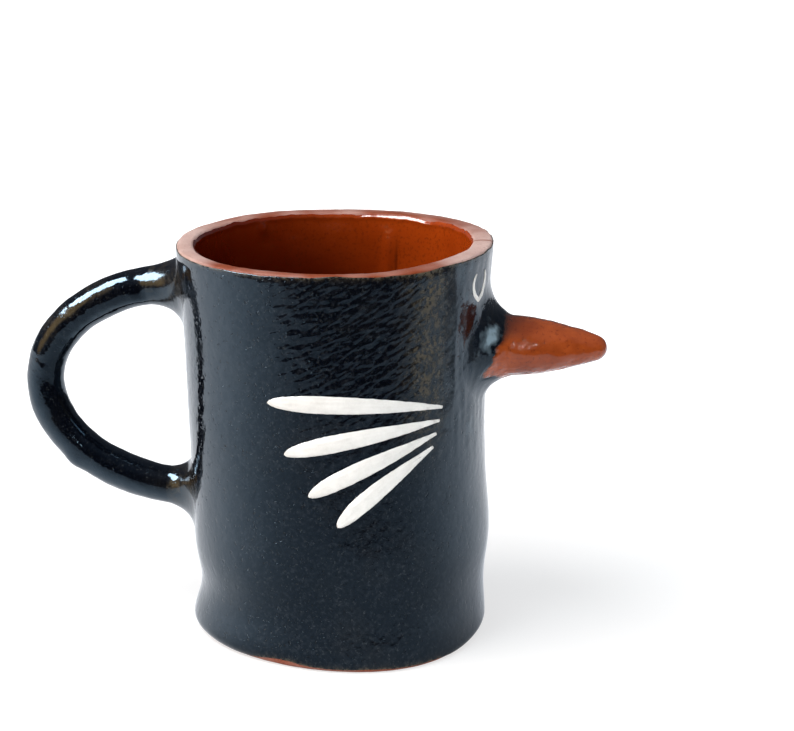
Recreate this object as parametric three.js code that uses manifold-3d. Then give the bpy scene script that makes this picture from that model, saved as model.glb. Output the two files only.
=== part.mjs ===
// Hand-built pottery mug with a bird's beak, eyes and wing marks.
// Millimetres, +Z up. The foot stands on z = 0, centred on the Z axis.
// The beak points along +X and the handle along -X. The near side of the mug is -Y.
// Pieces are shaped on an upright body, which then leans a little towards the handle.

import * as THREE from 'three';
import { mergeVertices } from 'three/addons/utils/BufferGeometryUtils.js';
import Module from 'manifold-3d';

const wasm = await Module();
wasm.setup();

// Outside shape of the body, measured over the glaze
const MUG_HEIGHT = 100;
const RIM_RADIUS = 40;
const BODY_RADIUS = 37.9;
const FLARE_POWER = 4; // a higher power keeps the wall straight for longer before it opens to the rim
const PINCH_DEPTH = 0.7; // groove where the wall was pressed onto the floor
const PINCH_HEIGHT = 14;
const PINCH_SPREAD = 8;
const LEAN = 1.5; // degrees towards the handle

// Clay slabs
const WALL_THICKNESS = 3.2;
const FLOOR_THICKNESS = 5;
const FOOT_FILLET = 1.6;
const RIM_ROUND = 0.9;

// Coils that back the inside joints
const FLOOR_COIL_SIZE = 5;
const SEAM_WIDTH = 6;
const SEAM_HEIGHT = 1.6;
const SEAM_AZIMUTH = 75; // degrees from the beak, towards the far side
const SEAM_TOP_DROP = 5; // below the rim
const SEAM_FOOT_RISE = 3; // above the floor coil

// Glaze coats
const GLAZE_THICKNESS = 0.5;
const GLAZE_RIM_DROP = 1.6; // bare clay left below the rim outside
const GLAZE_FOOT_RISE = 0.4; // bare clay left above the foot's round edge
const LINER_DROP = 2.5; // bare clay left below the rim inside

// Clearance between pieces that lie against each other
const FIT_GAP = 0.3;

// Handle, a bent round coil
const HANDLE_UPPER_DROP = 11.4; // upper joint, below the rim
const HANDLE_LOWER_HEIGHT = 33.8; // lower joint, above the table
const HANDLE_REACH = 38.6; // from the wall to the coil's middle at the crown
const HANDLE_END_RADIUS = 5;
const HANDLE_CROWN_RADIUS = 4.4;
const HANDLE_ROUNDNESS = 0.55; // 0.55 bends each half like a quarter ellipse

// Clay smeared round the joints
const WELD_LIP = 0.6; // thickness at the thin outer end
const HANDLE_WELD_FLARE = 4.2;
const HANDLE_WELD_LENGTH = 8;
const HANDLE_WELD_DRIFT = 1.2; // the smear sits towards the finger gap
const BEAK_WELD_FLARE = 5.2;
const BEAK_WELD_LENGTH = 7;

// Beak, a blunt cone
const EYE_TO_BEAK = 17.8; // height of the eyes above the beak's axis
const BEAK_LENGTH = 30.3; // outside the wall
const BEAK_ROOT_RADIUS = 8;
const BEAK_SHOULDER = 14; // how far the root's width is carried out
const BEAK_TIP_RADIUS = 3.3;
const BEAK_TIP_LENGTH = 2.7;

// White slip marks
const SLIP_THICKNESS = 0.5;
const SLIP_BEVEL = 0.6; // width of a stroke's top over the width of its base
const EYE_DROP = 7.2; // below the rim
const EYE_AZIMUTH = 16.4; // degrees from the beak
const EYE_HALF_WIDTH = 3.5;
const EYE_HALF_HEIGHT = 3.5;
const EYE_OPENING = 0.75; // part of the width that is left open at the top
const EYE_BULGE = 1.3; // how far the guide points of the loop's sides lie out, over the half width
const EYE_TAPER = 0.8; // the same for the guide points near the pointed bottom
const EYE_BULGE_RISE = 0.15; // height of those guide points over the half height
const EYE_TAPER_DROP = 0.7;
const EYE_STROKE = 1.1;
const WING_HEIGHT = 65; // tip of the top feather at the shoulder, above the table
const WING_AZIMUTH = 38; // the same tip, degrees from the beak
const FEATHER_COUNT = 4;
const FEATHER_LENGTH = 46; // top feather
const FEATHER_SHORTENING = 5; // from each feather to the one below
const FEATHER_WIDTH = 5;
const FEATHER_PITCH = 3.2; // from each tip down to the next
const FEATHER_SETBACK = 1; // each tip lies this far behind the one above
const FEATHER_DROOP = -4; // degrees, top feather
const FEATHER_FAN = 13; // degrees from each feather to the one below
const FEATHER_BOW = 3; // how far the middle's guide point lies above the straight line
const FEATHER_FULLEST = 0.7; // where the widest part lies, over the length
const FEATHER_POINT = 0.8; // width left at both ends

// Facets
const ROUND_SIDES = 48;
const PROFILE_ROWS = 6;
const ARC_STEPS = 3;
const COIL_SIDES = 16;
const HANDLE_STEPS = 26;
const COLLAR_SIDES = 28;
const COLLAR_STEPS = 4;
const BEAK_STEPS = 6;
const EYE_STEPS = 14;
const FEATHER_STEPS = 9;
const MERGE_DISTANCE = 1e-4;

// Finishes
const BARE_CLAY = { color: 0xb4694d, roughness: 0.7, metalness: 0 };
const BLACK_GLAZE = { color: 0x14191c, roughness: 0.15, metalness: 0 };
const AMBER_GLAZE = { color: 0x8a3512, roughness: 0.12, metalness: 0 };
const BEAK_GLAZE = { color: 0xa34526, roughness: 0.2, metalness: 0 };
const WHITE_SLIP = { color: 0xeceae2, roughness: 0.35, metalness: 0 };

const NEAR = -1;
const FAR = 1;
const BEAK_SIDE = 1;
const HANDLE_SIDE = -1;
const { degToRad, lerp } = THREE.MathUtils;

// Radii of the body at a height: over the glaze, clay outside, clay inside, and the back of the lining
function outerRadius(z) {
  const flare = (RIM_RADIUS - BODY_RADIUS) * (z / MUG_HEIGHT) ** FLARE_POWER;
  const pinch = PINCH_DEPTH * Math.exp(-(((z - PINCH_HEIGHT) / PINCH_SPREAD) ** 2));
  return BODY_RADIUS + flare - pinch;
}

function clayRadius(z) {
  return outerRadius(z) - GLAZE_THICKNESS - FIT_GAP;
}

function innerRadius(z) {
  return clayRadius(z) - WALL_THICKNESS;
}

function linerRadius(z) {
  return innerRadius(z) - FIT_GAP;
}

// Heights and places that follow from the driving sizes
const handleUpperHeight = MUG_HEIGHT - HANDLE_UPPER_DROP;
const crownHeight = (handleUpperHeight + HANDLE_LOWER_HEIGHT) / 2;
const eyeHeight = MUG_HEIGHT - EYE_DROP;
const beakHeight = eyeHeight - EYE_TO_BEAK;
const beakRoot = outerRadius(beakHeight);
const floorCoilTop = FLOOR_THICKNESS + FLOOR_COIL_SIZE;
const floorCoilInner = linerRadius(FLOOR_THICKNESS) - FLOOR_COIL_SIZE;
const seamFoot = floorCoilTop + SEAM_FOOT_RISE;
const seamTop = MUG_HEIGHT - SEAM_TOP_DROP;

// Smeared joints: which side, how high, how far the smear drifts, and its shape
const handleWeld = {
  side: HANDLE_SIDE,
  lip: HANDLE_END_RADIUS + FIT_GAP + WELD_LIP,
  flare: HANDLE_WELD_FLARE,
  length: HANDLE_WELD_LENGTH,
};
const upperWeld = { ...handleWeld, height: handleUpperHeight, drift: -HANDLE_WELD_DRIFT };
const lowerWeld = { ...handleWeld, height: HANDLE_LOWER_HEIGHT, drift: HANDLE_WELD_DRIFT };
const beakWeld = {
  side: BEAK_SIDE,
  lip: BEAK_ROOT_RADIUS + FIT_GAP + WELD_LIP,
  flare: BEAK_WELD_FLARE,
  length: BEAK_WELD_LENGTH,
  height: beakHeight,
  drift: 0,
};

// Merges equal vertices, drops collapsed triangles and turns the faces outward.
function closeMesh(geometry) {
  const bare = new THREE.BufferGeometry();
  bare.setAttribute('position', geometry.getAttribute('position'));
  bare.setIndex(geometry.getIndex());
  const merged = mergeVertices(bare, MERGE_DISTANCE);
  const position = merged.getAttribute('position');
  const index = merged.getIndex().array;
  const triangles = [];
  let volume = 0;
  for (let i = 0; i < index.length; i += 3) {
    const triangle = Array.from(index.slice(i, i + 3));
    if (new Set(triangle).size < 3) continue;
    const [a, b, c] = triangle.map((vertex) => new THREE.Vector3().fromBufferAttribute(position, vertex));
    volume += a.dot(b.cross(c));
    triangles.push(triangle);
  }
  const outward = volume > 0 ? triangles : triangles.map(([a, b, c]) => [a, c, b]);
  merged.setIndex(outward.flat());
  return merged;
}

// Takes the tools' solids away from a closed geometry.
function cut(geometry, ...tools) {
  const toSolid = (shape) => {
    const vertProperties = new Float32Array(shape.getAttribute('position').array);
    const triVerts = new Uint32Array(shape.getIndex().array);
    return new wasm.Manifold(new wasm.Mesh({ numProp: 3, vertProperties, triVerts }));
  };
  const solid = tools.reduce((rest, tool) => rest.subtract(toSolid(tool)), toSolid(geometry));
  const mesh = solid.getMesh();
  const result = new THREE.BufferGeometry();
  result.setAttribute('position', new THREE.BufferAttribute(mesh.vertProperties, 3));
  result.setIndex(new THREE.BufferAttribute(mesh.triVerts, 1));
  return result;
}

// Solid of revolution about Z from an outline of (radius, height) points.
function turned(outline) {
  const lathe = new THREE.LatheGeometry(outline, ROUND_SIDES);
  lathe.rotateX(Math.PI / 2);
  return closeMesh(lathe);
}

// Ring-shaped solid of revolution: the outline is closed on itself.
function turnedRing(outline) {
  return turned([...outline, outline[0].clone()]);
}

// Skin over rings of equal point counts, closed by a cap at each end.
function loft(rings) {
  const sides = rings[0].length;
  const last = (rings.length - 1) * sides;
  const triangles = [];
  for (let start = 0; start < last; start += sides) {
    for (let i = 0; i < sides; i++) {
      const a = start + i;
      const b = start + ((i + 1) % sides);
      triangles.push(a, b, b + sides, a, b + sides, a + sides);
    }
  }
  for (let i = 1; i + 1 < sides; i++) {
    triangles.push(0, i + 1, i, last, last + i, last + i + 1);
  }
  const geometry = new THREE.BufferGeometry().setFromPoints(rings.flat());
  geometry.setIndex(triangles);
  return closeMesh(geometry);
}

// Evenly spread values from start to end, both included.
function spread(start, end, steps) {
  return Array.from({ length: steps + 1 }, (_, i) => lerp(start, end, i / steps));
}

// Angles once round a circle, in radians.
function roundAngles(sides) {
  return spread(0, 2 * Math.PI, sides).slice(1);
}

// Outline points along a wall whose radius depends on the height.
function wallSide(radiusAt, from, to) {
  return spread(from, to, PROFILE_ROWS).map((z) => new THREE.Vector2(radiusAt(z), z));
}

// Outline points on part of an ellipse, by its centre, half axes and end angles in degrees.
function arc(centre, across, up, from, to) {
  return spread(degToRad(from), degToRad(to), ARC_STEPS).map(
    (angle) => new THREE.Vector2(centre.x + across * Math.cos(angle), centre.y + up * Math.sin(angle)),
  );
}

// Base disc with a round lower edge
function makeFloor() {
  const edge = new THREE.Vector2(clayRadius(FOOT_FILLET) - FOOT_FILLET, FOOT_FILLET);
  return turned([
    new THREE.Vector2(0, 0),
    ...arc(edge, FOOT_FILLET, FOOT_FILLET, -90, 0),
    new THREE.Vector2(clayRadius(FLOOR_THICKNESS), FLOOR_THICKNESS),
    new THREE.Vector2(0, FLOOR_THICKNESS),
  ]);
}

// Rolled slab standing on the base disc, with a softened rim
function makeWall() {
  const shoulder = MUG_HEIGHT - RIM_ROUND;
  const outerEdge = new THREE.Vector2(clayRadius(shoulder) - RIM_ROUND, shoulder);
  const innerEdge = new THREE.Vector2(innerRadius(shoulder) + RIM_ROUND, shoulder);
  return turnedRing([
    ...wallSide(clayRadius, FLOOR_THICKNESS, shoulder),
    ...arc(outerEdge, RIM_ROUND, RIM_ROUND, 0, 90),
    ...arc(innerEdge, RIM_ROUND, RIM_ROUND, 90, 180),
    ...wallSide(innerRadius, shoulder, FLOOR_THICKNESS),
  ]);
}

// Coil smoothed to a hollow fillet in the corner between the floor and the wall
function makeFloorCoil() {
  const hollow = new THREE.Vector2(floorCoilInner, floorCoilTop);
  const across = linerRadius(floorCoilTop) - floorCoilInner;
  return turnedRing([
    ...spread(FLOOR_THICKNESS, floorCoilTop, ARC_STEPS).map((z) => new THREE.Vector2(linerRadius(z), z)),
    ...arc(hollow, across, FLOOR_COIL_SIZE, 0, -90),
  ]);
}

// Low ridge up the inside, where the slab's two ends meet. Extra widens it on every side.
function makeSeamCoil(extra) {
  const azimuth = degToRad(SEAM_AZIMUTH);
  const outward = new THREE.Vector3(Math.cos(azimuth), Math.sin(azimuth), 0);
  const sideways = new THREE.Vector3(-Math.sin(azimuth), Math.cos(azimuth), 0);
  const halfWidth = SEAM_WIDTH / 2 + extra;
  const rings = spread(seamFoot - extra, seamTop + extra, PROFILE_ROWS).map((z) => {
    const base = Math.sqrt(linerRadius(z) ** 2 - halfWidth ** 2) + extra;
    return spread(0, Math.PI, ARC_STEPS).map((angle) => {
      const rise = (SEAM_HEIGHT + 2 * extra) * Math.sin(angle);
      const point = outward.clone().multiplyScalar(base - rise);
      return point.addScaledVector(sideways, halfWidth * Math.cos(angle)).setZ(z);
    });
  });
  return loft(rings);
}

// Black coat on the outside, open round the smeared joints
function makeWallGlaze() {
  const foot = FOOT_FILLET + GLAZE_FOOT_RISE;
  const top = MUG_HEIGHT - GLAZE_RIM_DROP;
  const coat = turnedRing([
    ...wallSide(outerRadius, foot, top),
    ...wallSide((z) => outerRadius(z) - GLAZE_THICKNESS, top, foot),
  ]);
  return cut(coat, ...[upperWeld, lowerWeld, beakWeld].map(jointOpening));
}

// Amber coat on the inside, from the floor to just below the rim, open round the seam's ridge
function makeLinerGlaze() {
  const top = MUG_HEIGHT - LINER_DROP;
  const wallFoot = floorCoilTop + FIT_GAP;
  const underside = FLOOR_THICKNESS + FIT_GAP;
  const hollow = new THREE.Vector2(floorCoilInner, floorCoilTop);
  const across = linerRadius(floorCoilTop) - floorCoilInner - FIT_GAP;
  const down = FLOOR_COIL_SIZE - FIT_GAP;
  const coat = turned([
    new THREE.Vector2(0, underside),
    ...arc(hollow, across, down, -90, 0),
    ...wallSide(linerRadius, wallFoot, top),
    ...wallSide((z) => linerRadius(z) - GLAZE_THICKNESS, top, wallFoot),
    ...arc(hollow, across - GLAZE_THICKNESS, down - GLAZE_THICKNESS, 0, -90),
    new THREE.Vector2(0, underside + GLAZE_THICKNESS),
  ]);
  return cut(coat, makeSeamCoil(FIT_GAP));
}

// The clay body with a clearance round it, to trim what is stuck to the outside
function makeTrimmer() {
  return turned([
    new THREE.Vector2(0, 0),
    ...wallSide((z) => clayRadius(z) + FIT_GAP, 0, MUG_HEIGHT),
    new THREE.Vector2(0, MUG_HEIGHT),
  ]);
}

// Round coil from the upper joint, round the crown and back to the lower joint. Extra thickens it.
function makeHandleCoil(extra) {
  const upper = new THREE.Vector3(-outerRadius(handleUpperHeight), 0, handleUpperHeight);
  const lower = new THREE.Vector3(-outerRadius(HANDLE_LOWER_HEIGHT), 0, HANDLE_LOWER_HEIGHT);
  const crown = new THREE.Vector3(-outerRadius(crownHeight) - HANDLE_REACH, 0, crownHeight);
  const beside = (joint) => new THREE.Vector3(lerp(joint.x, crown.x, HANDLE_ROUNDNESS), 0, joint.z);
  const towards = (joint) => new THREE.Vector3(crown.x, 0, lerp(crown.z, joint.z, HANDLE_ROUNDNESS));
  const path = new THREE.CurvePath();
  path.add(new THREE.CubicBezierCurve3(upper, beside(upper), towards(upper), crown));
  path.add(new THREE.CubicBezierCurve3(crown, towards(lower), beside(lower), lower));

  const sideways = new THREE.Vector3(0, 1, 0);
  const ring = (centre, tangent, radius) => {
    const outward = new THREE.Vector3().crossVectors(tangent, sideways);
    return roundAngles(COIL_SIDES).map((angle) => {
      const point = centre.clone().addScaledVector(outward, radius * Math.cos(angle));
      return point.addScaledVector(sideways, radius * Math.sin(angle));
    });
  };
  const intoClay = new THREE.Vector3(WALL_THICKNESS, 0, 0);
  const endRadius = HANDLE_END_RADIUS + extra;
  const rings = spread(0, 1, HANDLE_STEPS).map((t) => {
    const radius = lerp(HANDLE_END_RADIUS, HANDLE_CROWN_RADIUS, Math.sin(Math.PI * t)) + extra;
    return ring(path.getPoint(t), path.getTangent(t), radius);
  });
  rings.unshift(ring(upper.clone().add(intoClay), path.getTangent(0), endRadius));
  rings.push(ring(lower.clone().add(intoClay), path.getTangent(1), endRadius));
  return loft(rings);
}

// Blunt cone along +X with its root run into the clay. Extra thickens it.
function makeBeakCone(extra) {
  const rootRadius = BEAK_ROOT_RADIUS + extra;
  const tipRadius = BEAK_TIP_RADIUS + extra;
  const taperEnd = BEAK_LENGTH - BEAK_TIP_LENGTH;
  const taper = (rootRadius - tipRadius) / (taperEnd - BEAK_SHOULDER);
  const noseRadius = tipRadius - taper * BEAK_TIP_LENGTH;
  const outline = new THREE.Path();
  outline.moveTo(0, -WALL_THICKNESS);
  outline.lineTo(rootRadius, -WALL_THICKNESS);
  outline.lineTo(rootRadius, 0);
  outline.quadraticCurveTo(rootRadius, BEAK_SHOULDER, tipRadius, taperEnd);
  outline.quadraticCurveTo(noseRadius, BEAK_LENGTH, 0, BEAK_LENGTH);
  const lathe = new THREE.LatheGeometry(outline.getPoints(BEAK_STEPS), COLLAR_SIDES);
  lathe.rotateZ(-Math.PI / 2);
  lathe.translate(beakRoot, 0, beakHeight);
  return closeMesh(lathe);
}

// Ring of points round a joint. It lies along the wall where hug is 1 and in a flat plane where it is 0.
function jointRing(joint, radius, standoff, hug) {
  const centreHeight = joint.height + joint.drift * hug;
  return roundAngles(COLLAR_SIDES).map((angle) => {
    const y = radius * Math.cos(angle);
    const z = centreHeight + radius * Math.sin(angle);
    const wallX = Math.sqrt(outerRadius(z) ** 2 - y ** 2);
    const x = lerp(outerRadius(joint.height), wallX, hug) + standoff;
    return new THREE.Vector3(joint.side * x, y, z);
  });
}

// Opening in the outside coat for a smeared joint
function jointOpening(joint) {
  const radius = joint.lip + joint.flare + FIT_GAP;
  return loft([-WALL_THICKNESS, WALL_THICKNESS].map((standoff) => jointRing(joint, radius, standoff, 1)));
}

// Smeared clay that curves from the wall to the piece that it grips
function makeWeld(joint, gripped) {
  const rings = spread(0, Math.PI / 2, COLLAR_STEPS).map((angle) => {
    const radius = joint.lip + joint.flare * (1 - Math.sin(angle));
    const run = 1 - Math.cos(angle);
    return jointRing(joint, radius, joint.length * run, 1 - run);
  });
  rings.unshift(jointRing(joint, joint.lip + joint.flare, -WALL_THICKNESS, 1));
  return cut(loft(rings), gripped, trimmer);
}

// Raised slip along a curve of (distance round the wall, height) points. The distance runs away from the beak.
function makeStroke(side, azimuth, curve, stations, widthAt) {
  const onWall = (spot, lift) => {
    const angle = side * (degToRad(azimuth) + spot.x / outerRadius(spot.y));
    const radius = outerRadius(spot.y) + lift;
    return new THREE.Vector3(radius * Math.cos(angle), radius * Math.sin(angle), spot.y);
  };
  const rings = stations.map((t) => {
    const tangent = curve.getTangent(t);
    const across = new THREE.Vector2(-tangent.y, tangent.x).multiplyScalar(widthAt(t) / 2);
    const spot = (share) => curve.getPoint(t).addScaledVector(across, share);
    const top = FIT_GAP + SLIP_THICKNESS;
    return [
      onWall(spot(-1), FIT_GAP),
      onWall(spot(1), FIT_GAP),
      onWall(spot(SLIP_BEVEL), top),
      onWall(spot(-SLIP_BEVEL), top),
    ];
  });
  return loft(rings);
}

// Leaf-shaped loop of slip, pointed below and open at the top
function makeEye(side) {
  const spot = (across, up) => new THREE.Vector2(across * EYE_HALF_WIDTH, eyeHeight + up * EYE_HALF_HEIGHT);
  const half = (way) => [
    spot(way * EYE_OPENING, 1),
    spot(way * EYE_BULGE, EYE_BULGE_RISE),
    spot(way * EYE_TAPER, -EYE_TAPER_DROP),
    spot(0, -1),
  ];
  const loop = new THREE.CurvePath();
  loop.add(new THREE.CubicBezierCurve(...half(1)));
  loop.add(new THREE.CubicBezierCurve(...half(-1).reverse()));
  return makeStroke(side, EYE_AZIMUTH, loop, spread(0, 1, EYE_STEPS), () => EYE_STROKE);
}

// Drop-shaped brush stroke, thin at the shoulder and round at the tail. Place 0 is the top feather.
function makeFeather(side, place) {
  const length = FEATHER_LENGTH - place * FEATHER_SHORTENING;
  const droop = degToRad(FEATHER_DROOP + place * FEATHER_FAN);
  const along = new THREE.Vector2(Math.cos(droop), -Math.sin(droop));
  const above = new THREE.Vector2(Math.sin(droop), Math.cos(droop));
  const head = new THREE.Vector2(place * FEATHER_SETBACK, WING_HEIGHT - place * FEATHER_PITCH);
  const guide = head.clone().addScaledVector(along, length / 2).addScaledVector(above, FEATHER_BOW);
  const tail = head.clone().addScaledVector(along, length);
  const curve = new THREE.QuadraticBezierCurve(head, guide, tail);
  const rise = FEATHER_FULLEST / (1 - FEATHER_FULLEST) / 2;
  const swell = (t) => t ** rise * Math.sqrt(1 - t);
  const widest = FEATHER_WIDTH - FEATHER_POINT;
  const widthAt = (t) => FEATHER_POINT + (widest * swell(t)) / swell(FEATHER_FULLEST);
  const stations = spread(1, 0, FEATHER_STEPS).map((share) => 1 - share ** 2);
  return makeStroke(side, WING_AZIMUTH, curve, stations, widthAt);
}

// Leans a geometry towards the handle. The foot stays flat on the table and the rim tilts with the body.
function lean(geometry) {
  const slope = Math.tan(degToRad(LEAN));
  const position = geometry.getAttribute('position');
  for (let i = 0; i < position.count; i++) {
    const x = position.getX(i);
    const z = position.getZ(i);
    position.setX(i, x - slope * z);
    position.setZ(i, z + (slope * x * z) / MUG_HEIGHT);
  }
}

const trimmer = makeTrimmer();
const mug = new THREE.Group();

function addPiece(name, geometry, finish) {
  lean(geometry);
  geometry.computeVertexNormals();
  const piece = new THREE.Mesh(geometry, new THREE.MeshStandardMaterial(finish));
  piece.name = name;
  mug.add(piece);
}

addPiece('floor', makeFloor(), BARE_CLAY);
addPiece('wall', makeWall(), BARE_CLAY);
addPiece('floor_coil', makeFloorCoil(), BARE_CLAY);
addPiece('seam_coil', makeSeamCoil(0), AMBER_GLAZE);
addPiece('liner_glaze', makeLinerGlaze(), AMBER_GLAZE);
addPiece('wall_glaze', makeWallGlaze(), BLACK_GLAZE);
addPiece('handle', cut(makeHandleCoil(0), trimmer), BLACK_GLAZE);
addPiece('handle_upper_weld', makeWeld(upperWeld, makeHandleCoil(FIT_GAP)), BLACK_GLAZE);
addPiece('handle_lower_weld', makeWeld(lowerWeld, makeHandleCoil(FIT_GAP)), BLACK_GLAZE);
addPiece('beak', cut(makeBeakCone(0), trimmer), BEAK_GLAZE);
addPiece('beak_weld', makeWeld(beakWeld, makeBeakCone(FIT_GAP)), BLACK_GLAZE);

for (const [word, side] of [['near', NEAR], ['far', FAR]]) {
  addPiece(`eye_${word}`, makeEye(side), WHITE_SLIP);
  for (let place = 0; place < FEATHER_COUNT; place++) {
    addPiece(`wing_feather_${word}_${place + 1}`, makeFeather(side, place), WHITE_SLIP);
  }
}

export default mug;
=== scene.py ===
"""Looks of a hand-built bird mug.

Shapes are written in millimetres and become metres when a mesh is made.
The beak points along +X, the handle along -X, and the photographed side faces -Y.
Angles round the mug start at the beak and grow towards the far side (+Y).

Endings of names:
ANGLES are a mark's middle and spread round the mug or the beak, in degrees.
BAND is a mark's middle and spread in height.
RISE is the height where a mark starts and the height where it is full.
WAVES are layers of unevenness, each with a depth, the width of one lump and a seed.
"""

import math

import bmesh
import bpy
import numpy as np
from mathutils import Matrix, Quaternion, Vector, noise


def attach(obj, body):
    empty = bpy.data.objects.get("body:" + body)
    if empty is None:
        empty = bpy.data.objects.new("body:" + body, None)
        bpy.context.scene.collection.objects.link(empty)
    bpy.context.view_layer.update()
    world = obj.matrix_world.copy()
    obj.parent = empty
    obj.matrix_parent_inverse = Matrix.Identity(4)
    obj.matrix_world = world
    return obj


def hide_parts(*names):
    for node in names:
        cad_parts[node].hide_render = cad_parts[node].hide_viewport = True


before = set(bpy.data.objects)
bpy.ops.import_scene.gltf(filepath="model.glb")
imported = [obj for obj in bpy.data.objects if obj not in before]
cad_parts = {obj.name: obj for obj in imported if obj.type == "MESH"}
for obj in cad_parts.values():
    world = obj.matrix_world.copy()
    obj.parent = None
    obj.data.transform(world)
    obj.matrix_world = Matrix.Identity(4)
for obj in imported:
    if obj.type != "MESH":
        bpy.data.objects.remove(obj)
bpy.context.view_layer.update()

MM = 0.001
RIGHT_ANGLE = math.pi / 2

# Body
MUG_HEIGHT = 100.0
RIM_RADIUS = 40.0
BODY_RADIUS = 37.5
FLARE_POWER = 4
PINCH_DEPTH = 0.7
PINCH_BAND = (14.0, 8.0)
FLOOR_THICKNESS = 5.0
FLOOR_LOWEST = 0.02
FLOOR_HOLLOW = 0.35
FLOOR_WAVES = ((0.05, 2.5, 12),)
FOOT_FILLET = 1.0
FOOT_FILLET_LEFT = 3.6  # the edge under the handle is rounded off more
FOOT_LEFT_ANGLES = (-155, 60)
FOOT_FILLET_RIGHT = 3.5  # and so is the edge under the beak
FOOT_RIGHT_ANGLES = (0, 24)
LEAN = math.tan(math.radians(1.5))  # towards the handle, with the foot flat on the table

# Marks of the hand on the body
BODY_WAVES = ((0.32, 26.0, 1), (0.07, 8.0, 2))
FOOT_SPREAD = 0.9  # the foot spreads on the handle's side
FOOT_SPREAD_BAND = (0.0, 9.0)
WAIST = 1.35  # and the wall above it is pressed in
WAIST_BAND = (11.0, 7.0)
FOOT_PUSH = 2.4  # the foot is pushed out between the wing and the beak
FOOT_PUSH_BAND = (0.0, 21.0)
FOOT_PUSH_ANGLES = (-62, 30)
BELLY = 1.1  # the wall bulges low on the beak's side
BELLY_BAND = (26.0, 12.0)
RIPPLE_DEPTH = 0.045  # print of the cloth that the slab was rolled on
RIPPLE_LENGTH = 3.6
RIPPLE_PITCH = 1.5
RIPPLE_SLANT = math.radians(38)
RIPPLE_OVERLAP = math.radians(165)  # from here on the print blends into its own start
RIPPLE_RISE = (35, 65)
RIPPLE_TURN = (-0.3, 0.3)  # share of the way to the photographed side where it starts and is full
RIPPLE_LEAST = 0.45  # share of its depth below and on the far side
PRINT_TWIST = 26.0  # radians that the dashes wind round the wall in each metre of height
PRINT_PITCH = 2.1
PRINT_LENGTH = 1.8
PRINT_ANGLE = -76  # degrees, where the print is deepest
RUN_DEPTH = 0.12  # upright runs of glaze beside the beak
RUN_WIDTH = 2.0
RUN_LENGTH = 11.0
RUN_ANGLES = (-20, 26)
RUN_RISE = (42, 62)

# Rim
RIM_WIDTH_LEFT = 4.2  # of the bare clay at the handle
RIM_WIDTH_RIGHT = 5.0  # and at the beak
RIM_WIDTH_WAVES = ((0.15, 9, 6),)
RIM_THINNING = 1.2  # at the front
RIM_THINNING_ANGLES = (-90, 45)
RIM_ROUND = 0.8
RIM_CROWN = 0.12
RIM_LIFT = 0.5  # the cut rim stands this much over the nominal height
RIM_SIDE_LIFT = 0.35  # and this much more at the beak and the handle
RIM_WAVES = ((0.4, 30, 4), (0.12, 7, 5))
RIM_GRAIN_WAVES = ((0.05, 1.6, 10), (0.10, 5, 11))
# Middle of the rim's darker front.
RIM_DARK_FRONT_ANGLE = math.radians(-86)
RIM_CRACK_ANGLES = (3, 0.7)
KNIFE_ANGLES = (22, 13)  # facets left by the knife on the beak's side
KNIFE_PITCH = math.radians(7.5)
KNIFE_DEPTH = 0.45

# Black coat
COAT = 0.35  # thickness of the glaze over the clay
SHELL = 1.0  # from the glaze's face to its hidden back
SHELL_GAP = 0.4  # and from there to the clay
COAT_FOOT = 0.55  # height of the coat's lower edge
COAT_FOOT_WAVES = ((0.2, 6, 7), (0.1, 2.2, 8))
BARE_PATCH = 1.3  # more bare clay at the foot
BARE_PATCH_ANGLES = (-105, 11)
BARE_LINE = 0.4
BARE_LINE_ANGLES = (-78, 30)
COAT_DROP = 0.55  # from the rim to the coat's upper edge
COAT_TOP_WAVES = ((0.3, 5, 9),)
COAT_CREEP = 0.45  # the coat reaches higher at the front
COAT_CREEP_ANGLES = (-80, 14)
COAT_EDGE = 1.8  # width of the thinner edges
COAT_EDGE_SINK = 0.5  # share of the coat that is lost there
COAT_EDGE_WEAR = 0.4  # width of the brown line along the edges
COAT_PRINT_EDGE = 3.0  # the print fades out over this width
STREAK_ANGLES = (-45, 8)  # the coat runs thin in an upright streak
STREAK_RISE = (45, 72)
PAINTED_REFLECTION_ANGLES = (-16, 15)  # painted reflection: slate-blue patches beside the beak
PAINTED_REFLECTION_RISE = (40, 65)
PAINTED_REFLECTION_SHARE = 0.16

# Inside
LINER_DROP = 0.5  # from the rim to the amber coat's upper edge
LINER_TOP_WAVES = ((0.35, 5, 13), (0.21, 2, 14))
LINER_COAT = 0.3
LINER_BEAD = 0.18  # the coat is thicker along its edge
LINER_BEAD_BAND = (0.7, 0.6)  # down from the edge
LINER_ROOT = 0.4  # how far the coat's hidden back lies in the clay
LINER_WAVES = ((0.12, 7, 15),)
LINER_FILLET = 5.0
LINER_FLOOR = FLOOR_THICKNESS + 0.9  # heights of the coat's face and back on the floor
LINER_FLOOR_BACK = FLOOR_THICKNESS + 0.2
LINER_FLOOR_WAVES = ((0.25, 16, 16),)
SEAM_ANGLE = 75
SEAM_HALF_WIDTH = 1.6
SEAM_HEIGHT = 0.7
SEAM_EDGE_ANGLES = (71, 0.6)
DRIP_HEIGHT = 0.7  # a drop of glaze below the rim
DRIP_ANGLES = (132, 1.8)
DRIP_BAND = (2.6, 1.6)  # down from the edge

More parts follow.
